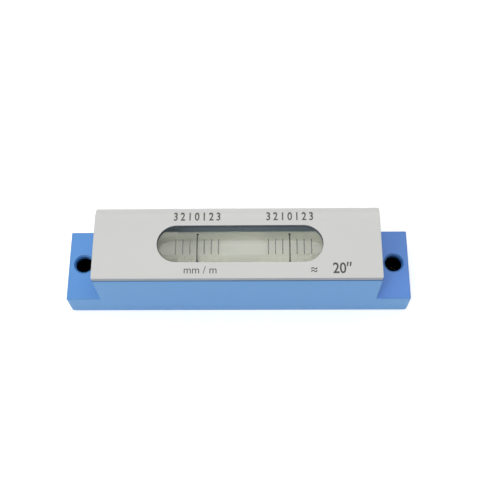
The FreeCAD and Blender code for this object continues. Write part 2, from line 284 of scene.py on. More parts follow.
# %% Group for lively surfaces
surface_group, taken, given = new_group(
    "lively_surface",
    {
        "Grain Size": ("Float", 0.2 * MM),
        "Grain Height": ("Float", 0.01 * MM),
        "Patch Size": ("Float", 12 * MM),
        "Stretch": ("Vector", (1.0, 1.0, 1.0)),
    },
    {"Normal": "Vector", "Edge": "Float", "Patches": "Float", "Grain": "Float"},
)
edge_radius = 0.18 * MM
edge_rays = 6
edge_starts = 0.995
edge_is_full = 0.85
place = add(surface_group, "ShaderNodeTexCoord").outputs["Object"]
stretched = add(surface_group, "ShaderNodeVectorMath", operation="MULTIPLY")
surface_group.links.new(place, stretched.inputs[0])
surface_group.links.new(taken.outputs["Stretch"], stretched.inputs[1])
grain = add(surface_group, "ShaderNodeTexNoise", {"Detail": 3.0, "Roughness": 0.6})
grain_scale = math_node(surface_group, "DIVIDE", 1.0, taken.outputs["Grain Size"])
surface_group.links.new(stretched.outputs[0], grain.inputs["Vector"])
surface_group.links.new(grain_scale, grain.inputs["Scale"])
patches = add(surface_group, "ShaderNodeTexNoise", {"Detail": 2.0})
patch_scale = math_node(surface_group, "DIVIDE", 1.0, taken.outputs["Patch Size"])
surface_group.links.new(place, patches.inputs["Vector"])
surface_group.links.new(patch_scale, patches.inputs["Scale"])
round_edge = add(surface_group, "ShaderNodeBevel", {"Radius": edge_radius}, samples=edge_rays)
bump = add(surface_group, "ShaderNodeBump", {"Strength": 1.0})
surface_group.links.new(grain.outputs["Fac"], bump.inputs["Height"])
surface_group.links.new(taken.outputs["Grain Height"], bump.inputs["Distance"])
surface_group.links.new(round_edge.outputs["Normal"], bump.inputs["Normal"])
true_normal = add(surface_group, "ShaderNodeNewGeometry").outputs["Normal"]
agreement = add(surface_group, "ShaderNodeVectorMath", operation="DOT_PRODUCT")
surface_group.links.new(round_edge.outputs["Normal"], agreement.inputs[0])
surface_group.links.new(true_normal, agreement.inputs[1])
edge = add(surface_group, "ShaderNodeMapRange", {"From Min": edge_starts, "From Max": edge_is_full})
surface_group.links.new(agreement.outputs["Value"], edge.inputs["Value"])
surface_group.links.new(bump.outputs["Normal"], given.inputs["Normal"])
surface_group.links.new(edge.outputs["Result"], given.inputs["Edge"])
surface_group.links.new(patches.outputs["Fac"], given.inputs["Patches"])
surface_group.links.new(grain.outputs["Fac"], given.inputs["Grain"])
print("group", surface_group.name, "has", len(surface_group.nodes), "nodes")

# %% Group for places on a piece
sharp_fade = 0.02 * MM
box_group, taken, given = new_group(
    "inside_box",
    {
        "Centre": ("Vector", (0.0, 0.0, 0.0)),
        "Half Size": ("Vector", (0.01, 0.01, 0.01)),
        "Fade": ("Float", sharp_fade),
    },
    {"Mask": "Float"},
)
place = add(box_group, "ShaderNodeTexCoord").outputs["Object"]
offset = add(box_group, "ShaderNodeVectorMath", operation="SUBTRACT")
box_group.links.new(place, offset.inputs[0])
box_group.links.new(taken.outputs["Centre"], offset.inputs[1])
distance = add(box_group, "ShaderNodeVectorMath", operation="ABSOLUTE")
box_group.links.new(offset.outputs[0], distance.inputs[0])
beyond = add(box_group, "ShaderNodeVectorMath", operation="SUBTRACT")
box_group.links.new(distance.outputs[0], beyond.inputs[0])
box_group.links.new(taken.outputs["Half Size"], beyond.inputs[1])
parts = add(box_group, "ShaderNodeSeparateXYZ")
box_group.links.new(beyond.outputs[0], parts.inputs[0])
farthest = math_node(box_group, "MAXIMUM", parts.outputs["X"], parts.outputs["Y"])
farthest = math_node(box_group, "MAXIMUM", farthest, parts.outputs["Z"])
inside = add(box_group, "ShaderNodeMapRange", {"From Min": 0.0, "To Min": 1.0, "To Max": 0.0})
box_group.links.new(farthest, inside.inputs["Value"])
box_group.links.new(taken.outputs["Fade"], inside.inputs["From Max"])
box_group.links.new(inside.outputs["Result"], given.inputs["Mask"])
print("group", box_group.name, "has", len(box_group.nodes), "nodes")


def use_surface(tree, grain_size, grain_height, patch_size, stretch=(1.0, 1.0, 1.0)):
    """The lively surface's outputs, with these sizes of grain and patches."""
    node = add(tree, "ShaderNodeGroup", node_tree=surface_group)
    node.inputs["Grain Size"].default_value = grain_size
    node.inputs["Grain Height"].default_value = grain_height
    node.inputs["Patch Size"].default_value = patch_size
    node.inputs["Stretch"].default_value = stretch
    return node.outputs


def use_box(tree, low, high, fade=sharp_fade):
    """A mask that is 1 between two corners and fades out just beyond them."""
    node = add(tree, "ShaderNodeGroup", node_tree=box_group)
    low, high = Vector(low), Vector(high)
    node.inputs["Centre"].default_value = (low + high) / 2
    node.inputs["Half Size"].default_value = (high - low) / 2
    node.inputs["Fade"].default_value = fade
    return node.outputs["Mask"]


def both_masks(tree, first, second):
    return math_node(tree, "MULTIPLY", first, second)


# %% [markdown]
# ## Blue enamel on the bar
#
# The bar is steel with a satin blue enamel. The enamel stops inside the milled pocket, which is a
# dark primer, and on the underside, which is ground bare so that the level sits true. The screw
# holes carry painted shade: their walls are a darker blue, and below their mouths they are black
# and dull, where shadow falls. A thin strip of painted shade lies under the cover's front rim.
# Masks that follow the bar's own coordinates put each finish in its place, so one material serves
# the whole bar. The tops of the two ears carry painted shade too, a little darker and towards
# violet, the right one more.

# %% Paint the bar
pocket_half_length = 27.15 * MM
pocket_half_width = 6.35 * MM
pocket_floor = 1.0 * MM
notch_height = 0.62 * MM
notch_fade = 0.05 * MM
notch_shade = 0.75
edge_wear = 0.5
ear_holes = next(mount for mount in frame["record"]["mounts"] if mount["name"] == "ear_holes")
hole_place = ear_holes["dims"]["spacing_x_mm"] / 2 * MM
hole_y = ear_holes["pos_m"][1]
hole_chamfer = 0.42 * MM
hole_wall_reach = ear_holes["dims"]["hole_r_mm"] * MM + hole_chamfer
hole_lit_depth = 1.6 * MM
hole_fade = 0.2 * MM
hole_top_gap = 0.05 * MM
ear_reach = 4.5 * MM
ear_skin = 0.1 * MM
base_skin = 0.004 * MM
enamel_shine = 0.5

enamel_dark = colour(0.080, 0.308, 0.668)
enamel_light = colour(0.090, 0.330, 0.700)
edge_blue = colour(0.085, 0.24, 0.42)
pocket_primer = colour(0.20, 0.265, 0.345)
notch_shadow_blue = colour(0.02, 0.06, 0.15)
hole_wall_shade_blue = colour(0.055, 0.180, 0.43)
hole_shadow_black = colour(0.002, 0.002, 0.003)
ground_steel = colour(0.62, 0.62, 0.60)
ear_top_shade_tones = ((-1, colour(0.96, 0.86, 0.92)), (1, colour(0.90, 0.72, 0.91)))


def make_blue_enamel():
    material, tree, shader = principled("blue_enamel", Roughness=0.42)
    outputs = use_surface(tree, grain_size=0.35 * MM, grain_height=0.012 * MM, patch_size=14 * MM)
    paint = mix_colours(tree, outputs["Patches"], enamel_dark, enamel_light)
    edge_wear_and_highlight = math_node(tree, "MULTIPLY", outputs["Edge"], edge_wear)
    paint = mix_colours(tree, edge_wear_and_highlight, paint, edge_blue)
    pocket_low = (-pocket_half_length, -pocket_half_width, pocket_floor)
    pocket_high = (pocket_half_length, pocket_half_width, bar_high.z + MM)
    paint = mix_colours(tree, use_box(tree, pocket_low, pocket_high), paint, pocket_primer)
    # Painted shade: a strip at the front top edge, under the cover's rim, is darkened towards a dark blue.
    notch_low = (-FAR, -FAR, bar_high.z - notch_height)
    notch_high = (FAR, bar_low.y + notch_height, FAR)
    shaded = math_node(tree, "MULTIPLY", use_box(tree, notch_low, notch_high, notch_fade), notch_shade)
    paint = mix_colours(tree, shaded, paint, notch_shadow_blue)
    shine = enamel_shine
    for side, tone in ear_top_shade_tones:
        ear_low = (side * hole_place - ear_reach, -FAR, ear_height - ear_skin)
        ear_high = (side * hole_place + ear_reach, FAR, ear_height + ear_skin)
        # Painted shade: each ear top is darkened towards violet, the right one more, where the block shades
        # it.
        paint = mix_colours(tree, use_box(tree, ear_low, ear_high), paint, tone, "MULTIPLY")
        middle = Vector((side * hole_place, hole_y, 0))
        low = middle - Vector((hole_wall_reach, hole_wall_reach, MM))
        high = middle + Vector((hole_wall_reach, hole_wall_reach, ear_height - hole_top_gap))
        # Painted shade in the hole: the wall turns a darker blue, and below the lit depth it is black with
        # no reflection.
        paint = mix_colours(tree, use_box(tree, low, high), paint, hole_wall_shade_blue)
        high.z = ear_height - hole_lit_depth
        deep_shadow = use_box(tree, low, high, hole_fade)
        paint = mix_colours(tree, deep_shadow, paint, hole_shadow_black)
        shine = math_node(tree, "SUBTRACT", shine, math_node(tree, "MULTIPLY", deep_shadow, enamel_shine))
    ground = use_box(tree, (-FAR, -FAR, -FAR), (FAR, FAR, base_skin), base_skin)
    paint = mix_colours(tree, ground, paint, ground_steel)
    tree.links.new(paint, shader.inputs["Base Color"])
    tree.links.new(ground, shader.inputs["Metallic"])
    tree.links.new(shine, shader.inputs["Specular IOR Level"])
    tree.links.new(outputs["Normal"], shader.inputs["Normal"])
    return material


def coat(node, material):
    """Give a solid of the frame its finish."""
    for slot in pieces[node].material_slots:
        slot.material = material
    print(node, "is finished in", material.name)


coat("base_body", make_blue_enamel())

# %% [markdown]
# ## Pale finish on the cover
#
# The cover is a sheet with a matt pale grey coat. It was coated before the window and the front
# edge were cut, so the front edge is plain grey. The window's cut wall is painted dark, as painted
# shade. Towards the bend at the rear the coat is made lighter, as painted light, and its rounded
# edges are lighter, as painted highlight. The window is a slot with round ends, and a point is on
# its wall where its distance from the slot's middle line equals the slot's radius.

# %% Finish the cover
cut_skin = 0.02 * MM
bend_reach = 0.4 * MM
bend_fade = 3.6 * MM
cover_edge_highlight = 0.4

coat_dark = colour(0.592, 0.592, 0.578)
coat_light = colour(0.626, 0.625, 0.608)
coat_edge_highlight = colour(0.80, 0.80, 0.79)
bend_painted_light = grey(1.19)
front_cut = colour(0.315, 0.345, 0.385)
window_cut_shade = colour(0.095, 0.118, 0.155)


def window_wall_mask(tree):
    """1 on the cut wall of the window and inside it, 0 on the sheet around."""
    place = add(tree, "ShaderNodeTexCoord").outputs["Object"]
    parts = add(tree, "ShaderNodeSeparateXYZ")
    tree.links.new(place, parts.inputs[0])
    along = math_node(tree, "ABSOLUTE", math_node(tree, "SUBTRACT", parts.outputs["X"], window_x))
    along = math_node(tree, "SUBTRACT", along, window_half_length - window_half_width)
    along = math_node(tree, "MAXIMUM", along, 0.0)
    across = math_node(tree, "SUBTRACT", parts.outputs["Y"], window_y)
    along_square = math_node(tree, "MULTIPLY", along, along)
    across_square = math_node(tree, "MULTIPLY", across, across)
    distance = math_node(tree, "SQRT", math_node(tree, "ADD", along_square, across_square))
    return math_node(tree, "LESS_THAN", distance, window_half_width + cut_skin)


def make_pale_coat():
    material, tree, shader = principled("pale_coat", Roughness=0.48)
    outputs = use_surface(tree, grain_size=0.22 * MM, grain_height=0.006 * MM, patch_size=18 * MM)
    sheet = mix_colours(tree, outputs["Patches"], coat_dark, coat_light)
    # Painted highlight: the rounded edges of the sheet are lighter.
    edge_wear_and_highlight = math_node(tree, "MULTIPLY", outputs["Edge"], cover_edge_highlight)
    sheet = mix_colours(tree, edge_wear_and_highlight, sheet, coat_edge_highlight)
    # Painted light: the coat is brightened towards the rear bend, which turns away from the lamps.
    bend = use_box(tree, (-FAR, cover_high.y - bend_reach, -FAR), (FAR, FAR, FAR), bend_fade)
    sheet = mix_colours(tree, bend, sheet, bend_painted_light, "MULTIPLY")
    front = use_box(tree, (-FAR, -FAR, -FAR), (FAR, cover_low.y + cut_skin, FAR))
    sheet = mix_colours(tree, front, sheet, front_cut)
    # Painted shade: the window's cut wall is dark.
    sheet = mix_colours(tree, window_wall_mask(tree), sheet, window_cut_shade)
    tree.links.new(sheet, shader.inputs["Base Color"])
    tree.links.new(outputs["Normal"], shader.inputs["Normal"])
    return material


coat("top_cover", make_pale_coat())

# %% [markdown]
# ## Bare metal
#
# The small parts are turned steel and brass. Grain stretched round or along the part makes the
# marks of the tool.

# %% Metals
metal_grain = 0.12 * MM
metal_relief = 0.004 * MM
metal_patches = 5 * MM
roughness_spread = 0.08


def make_metal(name, dark, light, roughness, stretch):
    material, tree, shader = principled(name, Metallic=1.0)
    outputs = use_surface(tree, metal_grain, metal_relief, metal_patches, stretch)
    tint = mix_colours(tree, outputs["Grain"], colour(*dark), colour(*light))
    smooth, dull = roughness - roughness_spread, roughness + roughness_spread
    tree.links.new(tint, shader.inputs["Base Color"])
    tree.links.new(mix_values(tree, outputs["Patches"], smooth, dull), shader.inputs["Roughness"])
    tree.links.new(outputs["Normal"], shader.inputs["Normal"])
    return material


bright_steel = make_metal(
    "bright_steel", (0.52, 0.53, 0.54), (0.66, 0.66, 0.66), roughness=0.30, stretch=(0.2, 1.0, 1.0)
)
turned_brass = make_metal(
    "turned_brass", (0.60, 0.43, 0.17), (0.78, 0.58, 0.28), roughness=0.28, stretch=(1.0, 1.0, 4.0)
)
for node in ("cover_screws", "pivot_pin", "adjusting_spring"):
    coat(node, bright_steel)
for node in ("adjusting_screw", "adjusting_washer"):
    coat(node, turned_brass)

# %% [markdown]
# ## Cradle paint and cement
#
# The cradle under the vial is painted white so that the liquid and the lines stand out against it,
# and the vial is bedded in plaster-like cement. Both are seen through the glass only, where little
# light reaches them, so they are given painted light: a faint glow of their own.
#
# Masks then shade them as in the picture. Each is a product of a stretch along the vial and a
# strip of the trough's wall: darker low at the left end and high at the right of the middle, more
# glow high at the left end and low in the middle.

# %% Cradle paint and cement
low_wall_top, low_wall_fade = 3.5 * MM, 0.5 * MM
high_wall_foot, high_wall_fade = 4.4 * MM, 0.7 * MM
near_wall_top, near_wall_fade = 3.4 * MM, 2 * MM
left_end_limit, left_end_fade = tube_x - 13 * MM, 7 * MM
middle_start, middle_stop, middle_fade = tube_x - 1.5 * MM, tube_x + 9 * MM, 5 * MM
right_start, right_stop, right_fade = tube_x + 7 * MM, tube_x + 9 * MM, 4 * MM
left_shade = grey(0.76)
right_shade = grey(0.84)
middle_painted_light = 0.03
left_painted_light = 0.10
matt_patches = 6 * MM


def make_matt(name, dark, light, grain_size, grain_height, roughness, glow):
    material, tree, shader = principled(name, Roughness=roughness)
    outputs = use_surface(tree, grain_size, grain_height, matt_patches)
    tint = mix_colours(tree, outputs["Patches"], colour(*dark), colour(*light))
    low_wall = use_box(tree, (-FAR, -FAR, -FAR), (FAR, low_wall_top, FAR), low_wall_fade)
    near_wall = use_box(tree, (-FAR, -FAR, -FAR), (FAR, near_wall_top, FAR), near_wall_fade)
    high_wall = use_box(tree, (-FAR, high_wall_foot, -FAR), (FAR, FAR, FAR), high_wall_fade)
    upper_wall = math_node(tree, "SUBTRACT", 1.0, low_wall)
    left_end = use_box(tree, (-FAR, -FAR, -FAR), (left_end_limit, FAR, FAR), left_end_fade)
    middle = use_box(tree, (middle_start, -FAR, -FAR), (middle_stop, FAR, FAR), middle_fade)
    right_part = use_box(tree, (right_start, -FAR, -FAR), (right_stop, FAR, FAR), right_fade)
    # Painted shade: darker low at the left end and high right of the middle.
    tint = mix_colours(tree, both_masks(tree, left_end, low_wall), tint, left_shade, "MULTIPLY")
    tint = mix_colours(tree, both_masks(tree, right_part, upper_wall), tint, right_shade, "MULTIPLY")
    # Painted light: the glow, stronger low in the middle and high at the left end.
    in_middle = mix_values(tree, both_masks(tree, middle, near_wall), glow, glow + middle_painted_light)
    at_left = mix_values(tree, both_masks(tree, left_end, high_wall), 0.0, left_painted_light)
    tree.links.new(math_node(tree, "ADD", in_middle, at_left), shader.inputs["Emission Strength"])
    tree.links.new(tint, shader.inputs["Base Color"])
    tree.links.new(tint, shader.inputs["Emission Color"])
    tree.links.new(outputs["Normal"], shader.inputs["Normal"])
    return material


cradle_white = make_matt(
    "cradle_white", (0.90, 0.90, 0.88), (0.94, 0.94, 0.92),
    grain_size=0.2 * MM, grain_height=0.006 * MM, roughness=0.5, glow=0.11,
)
bedding_cement = make_matt(
    "bedding_cement", (0.90, 0.90, 0.87), (0.95, 0.95, 0.92),
    grain_size=0.3 * MM, grain_height=0.01 * MM, roughness=0.85, glow=0.12,
)
coat("vial_cradle", cradle_white)
coat("vial_cement", bedding_cement)

# %% [markdown]
# ## Clear pieces
#
# Light bends at each boundary by the ratio of the two indices. The outside of the tube meets air,
# so it has the index of glass. Its inside meets the liquid, so it has glass over liquid. The
# liquid itself then only tints.
#
# The bubble would have air over liquid, about 0.74, and would show a black rim. A soft bright patch
# stands in its place: the bubble bends light less than a real one does, and painted light, a faint
# glow of its own, makes it lighter than the liquid.
#
# A lamp's light would reach the cradle through six curved boundaries, which is slow to find. For
# shadows and for light that comes off matt surfaces the clear pieces count as plain see-through,
# which keeps the cradle evenly lit.

# %% Clear materials
glass_index = 1.50
liquid_index = 1.36
bubble_index = 0.955
bubble_painted_glow = 0.03
painted_glow_colour = colour(0.98, 1.0, 0.98)


def make_clear(name, tint, index, painted_glow=0.0):
    """A clear material; the index is that of the piece over that of its surroundings."""
    material, tree, shader = principled(
        name, Base_Color=colour(*tint), Roughness=0.0, IOR=index, Transmission_Weight=1.0,
        Emission_Color=painted_glow_colour, Emission_Strength=painted_glow,
    )
    rays = add(tree, "ShaderNodeLightPath")
    straight = math_node(tree, "MAXIMUM", rays.outputs["Is Shadow Ray"], rays.outputs["Is Diffuse Ray"])
    see_through = add(tree, "ShaderNodeBsdfTransparent", {"Color": colour(*tint)})
    mixed = add(tree, "ShaderNodeMixShader")
    tree.links.new(straight, mixed.inputs[0])
    tree.links.new(shader.outputs["BSDF"], mixed.inputs[1])
    tree.links.new(see_through.outputs[0], mixed.inputs[2])
    set_surface(tree, mixed.outputs[0])
    return material


outer_glass = make_clear("clear_glass", (0.98, 0.99, 0.98), glass_index)
inner_glass = make_clear("clear_glass_bore", (1.0, 1.0, 1.0), glass_index / liquid_index)
pale_liquid = make_clear("pale_liquid", (0.985, 0.985, 0.922), 1.0)
# Painted light: the vapour glows faintly.
vapour = make_clear("vapour", (1.0, 1.0, 1.0), bubble_index, bubble_painted_glow)
print("index of the bore's wall", round(glass_index / liquid_index, 3))

# %% [markdown]
# ## The vial's tube
#
# The tube is a solid of revolution about the vial's axis. One profile gives the outside, with
# round ends, and a second gives the bore. The bore is a barrel: its side is an arc so flat that
# its middle stands out by about a hundredth of a millimetre, and that arc sets how far the bubble
# moves for a given slope. Both are turned here point by point, with the bore's faces turned to
# the axis, since that is the way out of the glass.

# %% Turn the tube
ring_points = 96
end_steps = 10
side_steps_of_barrel = 24
bulge_radius = 16.0
outer_end_round = 2.6 * MM
bore_end_round = 1.6 * MM


def tube_profile(half_length, radius, end_round, side_steps):
    """Points (x, radius) from one pole to the other, with rounded ends and a barrel side."""
    straight = half_length - end_round
    bulge = bulge_radius - math.sqrt(bulge_radius ** 2 - straight ** 2)
    foot = radius - bulge if side_steps > 1 else radius
    end = [(half_length, 0.0)]
    for step in range(end_steps + 1):
        angle = math.radians(90) * step / end_steps
        end.append((straight + end_round * math.cos(angle), foot - end_round + end_round * math.sin(angle)))
    side = []
    for step in range(1, side_steps):
        x = straight * (2 * step / side_steps - 1)
        side.append((x, foot + bulge - (bulge_radius - math.sqrt(bulge_radius ** 2 - x ** 2))))
    return [(-x, r) for x, r in end] + side + end[::-1]


def revolve(name, profile, inside_out=False):
    """Turn a profile about the vial's axis; the first and last points are the poles."""
    points = [Vector((tube_x + profile[0][0], 0, tube_z))]
    for x, radius in profile[1:-1]:
        for step in range(ring_points):
            angle = 2 * math.pi * step / ring_points
            points.append(Vector((tube_x + x, radius * math.cos(angle), tube_z + radius * math.sin(angle))))
    points.append(Vector((tube_x + profile[-1][0], 0, tube_z)))
    rings = len(profile) - 2
    last = len(points) - 1
    faces = []
    for step in range(ring_points):
        after = (step + 1) % ring_points
        faces.append((0, 1 + after, 1 + step))
        for ring in range(rings - 1):
            near = 1 + ring * ring_points
            far = near + ring_points
            faces.append((near + step, near + after, far + after, far + step))
        end = 1 + (rings - 1) * ring_points
        faces.append((last, end + step, end + after))
    if inside_out:
        faces = [face[::-1] for face in faces]
    return mesh_from(name, points, faces)


outside = revolve("tube_outside", tube_profile(tube_half_length, tube_radius, outer_end_round, side_steps=1))
bore = revolve(
    "tube_bore",
    tube_profile(
        liquid_half_length + liquid_film, liquid_radius + liquid_film, bore_end_round, side_steps_of_barrel
    ),
    inside_out=True,
)
tube = join_meshes("vial_tube", [outside, bore])
tube.materials.append(outer_glass)
tube.materials.append(inner_glass)
for index in range(len(outside.polygons), len(tube.polygons)):
    tube.polygons[index].material_index = 1
add_piece("vial_tube", tube, "cradle", ["vial_glass"])

# %% [markdown]
# ## Liquid and bubble
#
# The liquid fills the bore up to a thin film. It stays whole, and the bubble moves through it. The
# bubble's top lies against the bore, its underside is the liquid's level surface, and its rim is
# round where the liquid climbs the glass.

# %% Fill the vial
liquid_profile = tube_profile(liquid_half_length, liquid_radius, bore_end_round, side_steps_of_barrel)
liquid = revolve("liquid_fill", liquid_profile)
liquid.materials.append(pale_liquid)
add_piece("liquid_fill", liquid, "cradle", ["vial_liquid"])

# %% Shape the bubble
bubble_rings = 16
bubble_spokes = 72
end_fullness = 3.4
side_fullness = 2.3
rim_sharpness = 5.0


def make_bubble_mesh():
    """Rings of points from the crown to the rim above, and from the floor to the rim below."""
    centre = (bubble_low + bubble_high) / 2
    half_length = (bubble_high.x - bubble_low.x) / 2
    half_width = (bubble_high.y - bubble_low.y) / 2
    roof_radius = bubble_high.z - tube_z
    level = bubble_low.z - tube_z

    def outline(angle):
        across, up = math.cos(angle), math.sin(angle)
        reach = (abs(across) ** end_fullness + abs(up) ** side_fullness) ** (-1 / end_fullness)
        return half_length * across * reach, half_width * up * reach

    top, bottom = [], []
    for ring in range(1, bubble_rings + 1):
        share = math.sin(math.radians(90) * ring / bubble_rings)
        fullness = math.sqrt(max(0.0, 1 - share ** rim_sharpness))
        for spoke in range(bubble_spokes):
            x, y = outline(2 * math.pi * spoke / bubble_spokes)
            x, y = x * share, y * share
            roof = math.sqrt(roof_radius ** 2 - y ** 2)
            top.append(Vector((centre.x + x, y, tube_z + roof)))
            bottom.append(Vector((centre.x + x, y, tube_z + roof - (roof - level) * fullness)))
    crown = Vector((centre.x, 0, tube_z + roof_radius))
    floor = Vector((centre.x, 0, tube_z + level))
    points = [crown] + top + [floor] + bottom[:-bubble_spokes]
    rim = 1 + (bubble_rings - 1) * bubble_spokes
    under = 1 + bubble_rings * bubble_spokes

    def lower(ring, spoke):
        return rim + spoke if ring == bubble_rings - 1 else under + 1 + ring * bubble_spokes + spoke

    faces = []
    for spoke in range(bubble_spokes):
        after = (spoke + 1) % bubble_spokes
        faces.append((0, 1 + spoke, 1 + after))
        faces.append((under, lower(0, after), lower(0, spoke)))
        for ring in range(bubble_rings - 1):
            near = 1 + ring * bubble_spokes
            far = near + bubble_spokes
            faces.append((near + spoke, far + spoke, far + after, near + after))
            inner_pair = (lower(ring, spoke), lower(ring, after))
            outer_pair = (lower(ring + 1, after), lower(ring + 1, spoke))
            faces.append(inner_pair + outer_pair)
    return mesh_from("vapour_bubble", points, faces)


bubble_mesh = make_bubble_mesh()
bubble_mesh.materials.append(vapour)
add_piece("vapour_bubble", bubble_mesh, "bubble", ["bubble"])

# %% [markdown]
# ## Graduation
#
# The lines are ink laid across the top of the glass, all alike and evenly spaced, which is what
# Geometry Nodes do best. The tree sets points in a row, puts a curved strip on each and makes the
# result real. The strip is an arc about the vial's axis with a flat rectangle swept along it.
# A second tree lays the small dots at both ends of a main line.
#
# Three inks are used. The print on the cover is the blackest, and the thin short lines are greyer
# than the long ones, as the picture shows them.

# %% Ink
ink_grain = 0.15 * MM
ink_relief = 0.002 * MM
ink_patches = 2 * MM


def make_ink(name, dark, light):
    material, tree, shader = principled(name, Roughness=0.55)
    outputs = use_surface(tree, ink_grain, ink_relief, ink_patches)
    tint = mix_colours(tree, outputs["Patches"], colour(*dark), colour(*light))
    tree.links.new(tint, shader.inputs["Base Color"])
    return material


print_ink = make_ink("print_ink", (0.030, 0.030, 0.028), (0.060, 0.060, 0.056))
long_line_ink = make_ink("long_line_ink", (0.060, 0.060, 0.056), (0.095, 0.095, 0.090))
short_line_ink = make_ink("short_line_ink", (0.19, 0.19, 0.18), (0.26, 0.26, 0.25))
print("inks:", print_ink.name, long_line_ink.name, short_line_ink.name)

# %% Tree for a row of lines


def geometry_tree(name, inputs):
    """A tree whose modifier takes named inputs and gives one geometry."""
    tree = bpy.data.node_groups.new(name, "GeometryNodeTree")
    tree.interface.new_socket("Geometry", in_out="OUTPUT", socket_type="NodeSocketGeometry")
    for label, kind in inputs.items():
        tree.interface.new_socket(label, in_out="INPUT", socket_type="NodeSocket" + kind)
    return tree, tree.nodes.new("NodeGroupInput"), tree.nodes.new("NodeGroupOutput")


def row_of_points(tree, taken):
    """Points along X from Start, a Pitch apart, at the height of the vial's axis."""
    start = add(tree, "ShaderNodeCombineXYZ")
    tree.links.new(taken.outputs["Start"], start.inputs["X"])
    start.inputs["Z"].default_value = tube_z
    step = add(tree, "ShaderNodeCombineXYZ")
    tree.links.new(taken.outputs["Pitch"], step.inputs["X"])
    row = add(tree, "GeometryNodeMeshLine", mode="OFFSET")
    tree.links.new(taken.outputs["Count"], row.inputs["Count"])
    tree.links.new(start.outputs[0], row.inputs["Start Location"])
    tree.links.new(step.outputs[0], row.inputs["Offset"])
    return row.outputs["Mesh"]


def finish_tree(tree, taken, given, points, shape):
    """Instances of the shape on the points, made real and inked."""
    placed = add(tree, "GeometryNodeInstanceOnPoints")
    real = add(tree, "GeometryNodeRealizeInstances")
    inked = add(tree, "GeometryNodeSetMaterial")
    tree.links.new(points, placed.inputs["Points"])
    tree.links.new(shape, placed.inputs["Instance"])
    tree.links.new(placed.outputs[0], real.inputs[0])
    tree.links.new(real.outputs[0], inked.inputs["Geometry"])
    tree.links.new(taken.outputs["Ink"], inked.inputs["Material"])
    tree.links.new(inked.outputs[0], given.inputs[0])


arc_points = 33
line_tree, taken, given = geometry_tree(
    "lines_across_tube",
    {
        "Start": "Float",
        "Pitch": "Float",
        "Count": "Int",
        "Half Angle": "Float",
        "Line Width": "Float",
        "Radius": "Float",
        "Thickness": "Float",
        "Ink": "Material",
    },
)
arc = add(line_tree, "GeometryNodeCurveArc", {"Resolution": arc_points})
first_angle = math_node(line_tree, "SUBTRACT", math.radians(90), taken.outputs["Half Angle"])
line_tree.links.new(taken.outputs["Radius"], arc.inputs["Radius"])
line_tree.links.new(first_angle, arc.inputs["Start Angle"])
whole_angle = math_node(line_tree, "MULTIPLY", taken.outputs["Half Angle"], 2.0)
line_tree.links.new(whole_angle, arc.inputs["Sweep Angle"])
section = add(line_tree, "GeometryNodeCurvePrimitiveQuadrilateral")
line_tree.links.new(taken.outputs["Thickness"], section.inputs["Width"])
line_tree.links.new(taken.outputs["Line Width"], section.inputs["Height"])
swept = add(line_tree, "GeometryNodeCurveToMesh", {"Fill Caps": True})
line_tree.links.new(arc.outputs["Curve"], swept.inputs["Curve"])
line_tree.links.new(section.outputs["Curve"], swept.inputs["Profile Curve"])
across_tube = add(line_tree, "GeometryNodeTransform")
across_tube.inputs["Rotation"].default_value = (math.radians(90), 0.0, math.radians(90))
line_tree.links.new(swept.outputs["Mesh"], across_tube.inputs["Geometry"])
finish_tree(line_tree, taken, given, row_of_points(line_tree, taken), across_tube.outputs[0])
print("tree", line_tree.name, "has", len(line_tree.nodes), "nodes")

# %% Tree for the dots at the ends of the main lines
dot_corners = 24
dot_tree, taken, given = geometry_tree(
    "dots_on_tube",
    {
        "Start": "Float",
        "Pitch": "Float",
        "Count": "Int",
        "Angle": "Float",
        "Dot Radius": "Float",
        "Radius": "Float",
        "Thickness": "Float",
        "Ink": "Material",
    },
)
dot = add(dot_tree, "GeometryNodeMeshCylinder", {"Vertices": dot_corners})
dot_tree.links.new(taken.outputs["Dot Radius"], dot.inputs["Radius"])
dot_tree.links.new(taken.outputs["Thickness"], dot.inputs["Depth"])
lifted = add(dot_tree, "GeometryNodeTransform")
lift = add(dot_tree, "ShaderNodeCombineXYZ")
dot_tree.links.new(taken.outputs["Radius"], lift.inputs["Z"])
dot_tree.links.new(lift.outputs[0], lifted.inputs["Translation"])
dot_tree.links.new(dot.outputs["Mesh"], lifted.inputs["Geometry"])
turned = add(dot_tree, "GeometryNodeTransform")
turn = add(dot_tree, "ShaderNodeCombineXYZ")
dot_tree.links.new(taken.outputs["Angle"], turn.inputs["X"])
dot_tree.links.new(turn.outputs[0], turned.inputs["Rotation"])
dot_tree.links.new(lifted.outputs[0], turned.inputs["Geometry"])
finish_tree(dot_tree, taken, given, row_of_points(dot_tree, taken), turned.outputs[0])
print("tree", dot_tree.name, "has", len(dot_tree.nodes), "nodes")

# %% [markdown]
# A modifier takes its inputs by the socket's identifier, and they are set before the object is
# first evaluated. The evaluated object is then turned into a plain mesh, because a finished piece
# carries no live tree.

# %% Draw the lines
ink_thickness = main_high.z - tube_z - tube_radius
line_radius = tube_radius + ink_thickness / 2
main_width = 0.28 * MM
short_width = 0.24 * MM
dot_radius = 0.32 * MM
pitch = 1.6 * MM
marks_each_side = 3
main_angle = math.radians(37.5)
short_angle = math.radians(19.5)
main_places = (main_low.x + dot_radius, main_high.x - dot_radius)


def run_tree(tree, **values):
    """Run a tree on an empty mesh and return what it makes."""
    carrier = bpy.data.objects.new("carrier", bpy.data.meshes.new("carrier"))
    scene.collection.objects.link(carrier)
    modifier = carrier.modifiers.new("tree", "NODES")
    modifier.node_group = tree
    for item in tree.interface.items_tree:
        if item.in_out == "INPUT":
            modifier[item.identifier] = values[item.name.replace(" ", "_")]
    carrier.update_tag()
    depsgraph = bpy.context.evaluated_depsgraph_get()
    mesh = bpy.data.meshes.new_from_object(carrier.evaluated_get(depsgraph))
    bpy.data.objects.remove(carrier)
    return mesh


